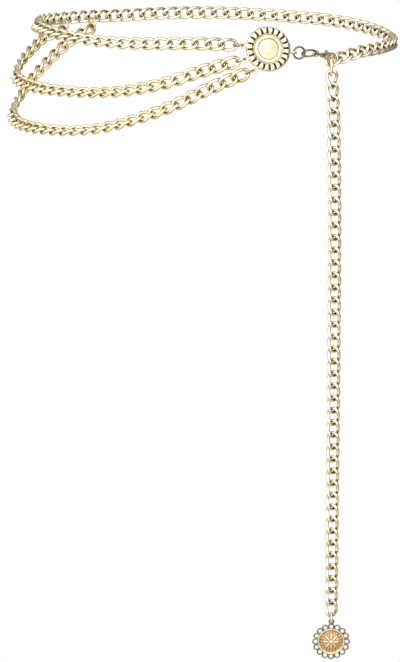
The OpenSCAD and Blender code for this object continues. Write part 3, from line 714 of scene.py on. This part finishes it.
nodeFinish = {
    # the strand rings, clasp body and lever: painted dark reflection with painted highlight streaks
    "strand_ring_waist": "claspGold",
    "strand_ring_upper": "claspGold",
    "strand_ring_lower": "claspGold",
    "junction_ring_upper": "matteGold",
    "junction_ring_lower": "matteGold",
    # the clasp's rings and pin: a dark copy of the gold, painted shade
    "clasp_ring_a": "shadedGold",
    "clasp_ring_b": "shadedGold",
    "clasp_body": "claspGold",
    "clasp_lever": "claspGold",
    "clasp_pin": "shadedGold",
    "pendant_ring": "polishedGold",
}
for node, finish in nodeFinish.items():
    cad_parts[node].data.materials.clear()
    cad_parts[node].data.materials.append(gold[finish])
print("finished nodes:", len(nodeFinish))

# The camera stands where the photograph's did; the stage and the light are plain
view = {"place": (-0.011655, -2.2, 0.36815), "down": 14.59, "lens": 181.41, "sensor": 36}
cameraData = bpy.data.cameras.new("camera")
cameraData.lens = view["lens"]
cameraData.sensor_width = view["sensor"]
camera = bpy.data.objects.new("camera", cameraData)
camera.location = view["place"]
camera.rotation_euler = (math.radians(90 - view["down"]), 0, 0)
bpy.context.scene.collection.objects.link(camera)
bpy.context.scene.camera = camera

stage = {
    "halfWidth": 1.3,
    "front": -1.2,
    "back": 10.0,
    "height": -0.75,
    "colour": (0.64, 0.58, 0.47),  # what the metal mirrors
    "seen": (1.0, 1.0, 1.0),  # what the camera sees, of the floor and of the room
}


def makeFloor():
    mesh = bpy.data.meshes.new("floor")
    w, f, b, h = stage["halfWidth"], stage["front"], stage["back"], stage["height"]
    mesh.from_pydata([(-w, f, h), (w, f, h), (w, b, h), (-w, b, h)], [], [(0, 1, 2, 3)])
    floor = bpy.data.objects.new("floor", mesh)
    bpy.context.scene.collection.objects.link(floor)
    material = bpy.data.materials.new("paleFloor")
    material.use_nodes = True
    tree = material.node_tree
    shader = tree.nodes["Principled BSDF"]
    shader.inputs["Base Color"].default_value = (*stage["colour"], 1)
    shader.inputs["Roughness"].default_value = 0.9
    plain = tree.nodes.new("ShaderNodeEmission")
    plain.inputs["Color"].default_value = (*stage["seen"], 1)
    seen = tree.nodes.new("ShaderNodeLightPath")
    either = tree.nodes.new("ShaderNodeMixShader")
    link(tree, seen.outputs["Is Camera Ray"], either.inputs["Fac"])
    link(tree, shader.outputs["BSDF"], either.inputs[1])
    link(tree, plain.outputs["Emission"], either.inputs[2])
    link(tree, either.outputs["Shader"], tree.nodes["Material Output"].inputs["Surface"])
    mesh.materials.append(material)


makeFloor()

light = {
    "key": {"at": (-0.9, -1.3, 1.1), "size": 0.8, "power": 8},
    "fill": {"at": (0.9, -1.6, 0.5), "size": 0.6, "power": 5},
}
lightAim = (0, 0, -0.15)
for name, one in light.items():
    data = bpy.data.lights.new(name, "AREA")
    data.size = one["size"]
    data.energy = one["power"]
    lamp = bpy.data.objects.new(name, data)
    lamp.location = one["at"]
    to = np.array(lightAim) - np.array(one["at"])
    lamp.rotation_euler = (math.atan2(math.hypot(to[0], to[1]), -to[2]), 0, math.atan2(-to[0], to[1]))
    bpy.context.scene.collection.objects.link(lamp)

# The room round the stage: white, with a few dark flags that the metal mirrors
room = {
    "white": (1.0, 0.98, 0.92),
    "dark": (0.07, 0.058, 0.03),
    "strength": 1.45,
    "flags": [
        {"way": (0.93, 0.15, -0.10), "from": 0.50, "to": 0.70, "amount": 0.92},
        {"way": (-0.65, 0.75, 0.0), "from": 0.62, "to": 0.92, "amount": 0.7},
        {"way": (0.2, -0.25, -0.95), "from": 0.58, "to": 0.85, "amount": 0.9},
        {"way": (0.0, 0.6, 0.8), "from": 0.55, "to": 0.9, "amount": 0.7},
    ],
}


def makeRoom():
    world = bpy.data.worlds.new("room")
    bpy.context.scene.world = world
    world.use_nodes = True
    tree = world.node_tree
    background = tree.nodes["Background"]
    way = tree.nodes.new("ShaderNodeTexCoord")
    bright = None
    for flag in room["flags"]:
        dot = tree.nodes.new("ShaderNodeVectorMath")
        dot.operation = "DOT_PRODUCT"
        dot.inputs[1].default_value = tuple(unit(np.array(flag["way"])))
        link(tree, way.outputs["Generated"], dot.inputs[0])
        shade = tree.nodes.new("ShaderNodeMapRange")
        shade.interpolation_type = "SMOOTHSTEP"
        shade.inputs["From Min"].default_value = flag["from"]
        shade.inputs["From Max"].default_value = flag["to"]
        shade.inputs["To Min"].default_value = 1.0
        shade.inputs["To Max"].default_value = 1.0 - flag["amount"]
        link(tree, dot.outputs["Value"], shade.inputs["Value"])
        if bright is None:
            bright = shade.outputs["Result"]
        else:
            product = tree.nodes.new("ShaderNodeMath")
            product.operation = "MULTIPLY"
            link(tree, bright, product.inputs[0])
            link(tree, shade.outputs["Result"], product.inputs[1])
            bright = product.outputs["Value"]
    mix = tree.nodes.new("ShaderNodeMix")
    mix.data_type = "RGBA"
    mix.inputs["A"].default_value = (*room["dark"], 1)
    mix.inputs["B"].default_value = (*room["white"], 1)
    link(tree, bright, mix.inputs["Factor"])
    link(tree, mix.outputs["Result"], background.inputs["Color"])
    background.inputs["Strength"].default_value = room["strength"]
    plain = tree.nodes.new("ShaderNodeBackground")
    plain.inputs["Color"].default_value = (*stage["seen"], 1)
    seen = tree.nodes.new("ShaderNodeLightPath")
    either = tree.nodes.new("ShaderNodeMixShader")
    link(tree, seen.outputs["Is Camera Ray"], either.inputs["Fac"])
    link(tree, background.outputs["Background"], either.inputs[1])
    link(tree, plain.outputs["Background"], either.inputs[2])
    link(tree, either.outputs["Shader"], tree.nodes["World Output"].inputs["Surface"])


makeRoom()
bpy.context.scene.view_settings.view_transform = "Standard"
print("stage, light and camera are set")
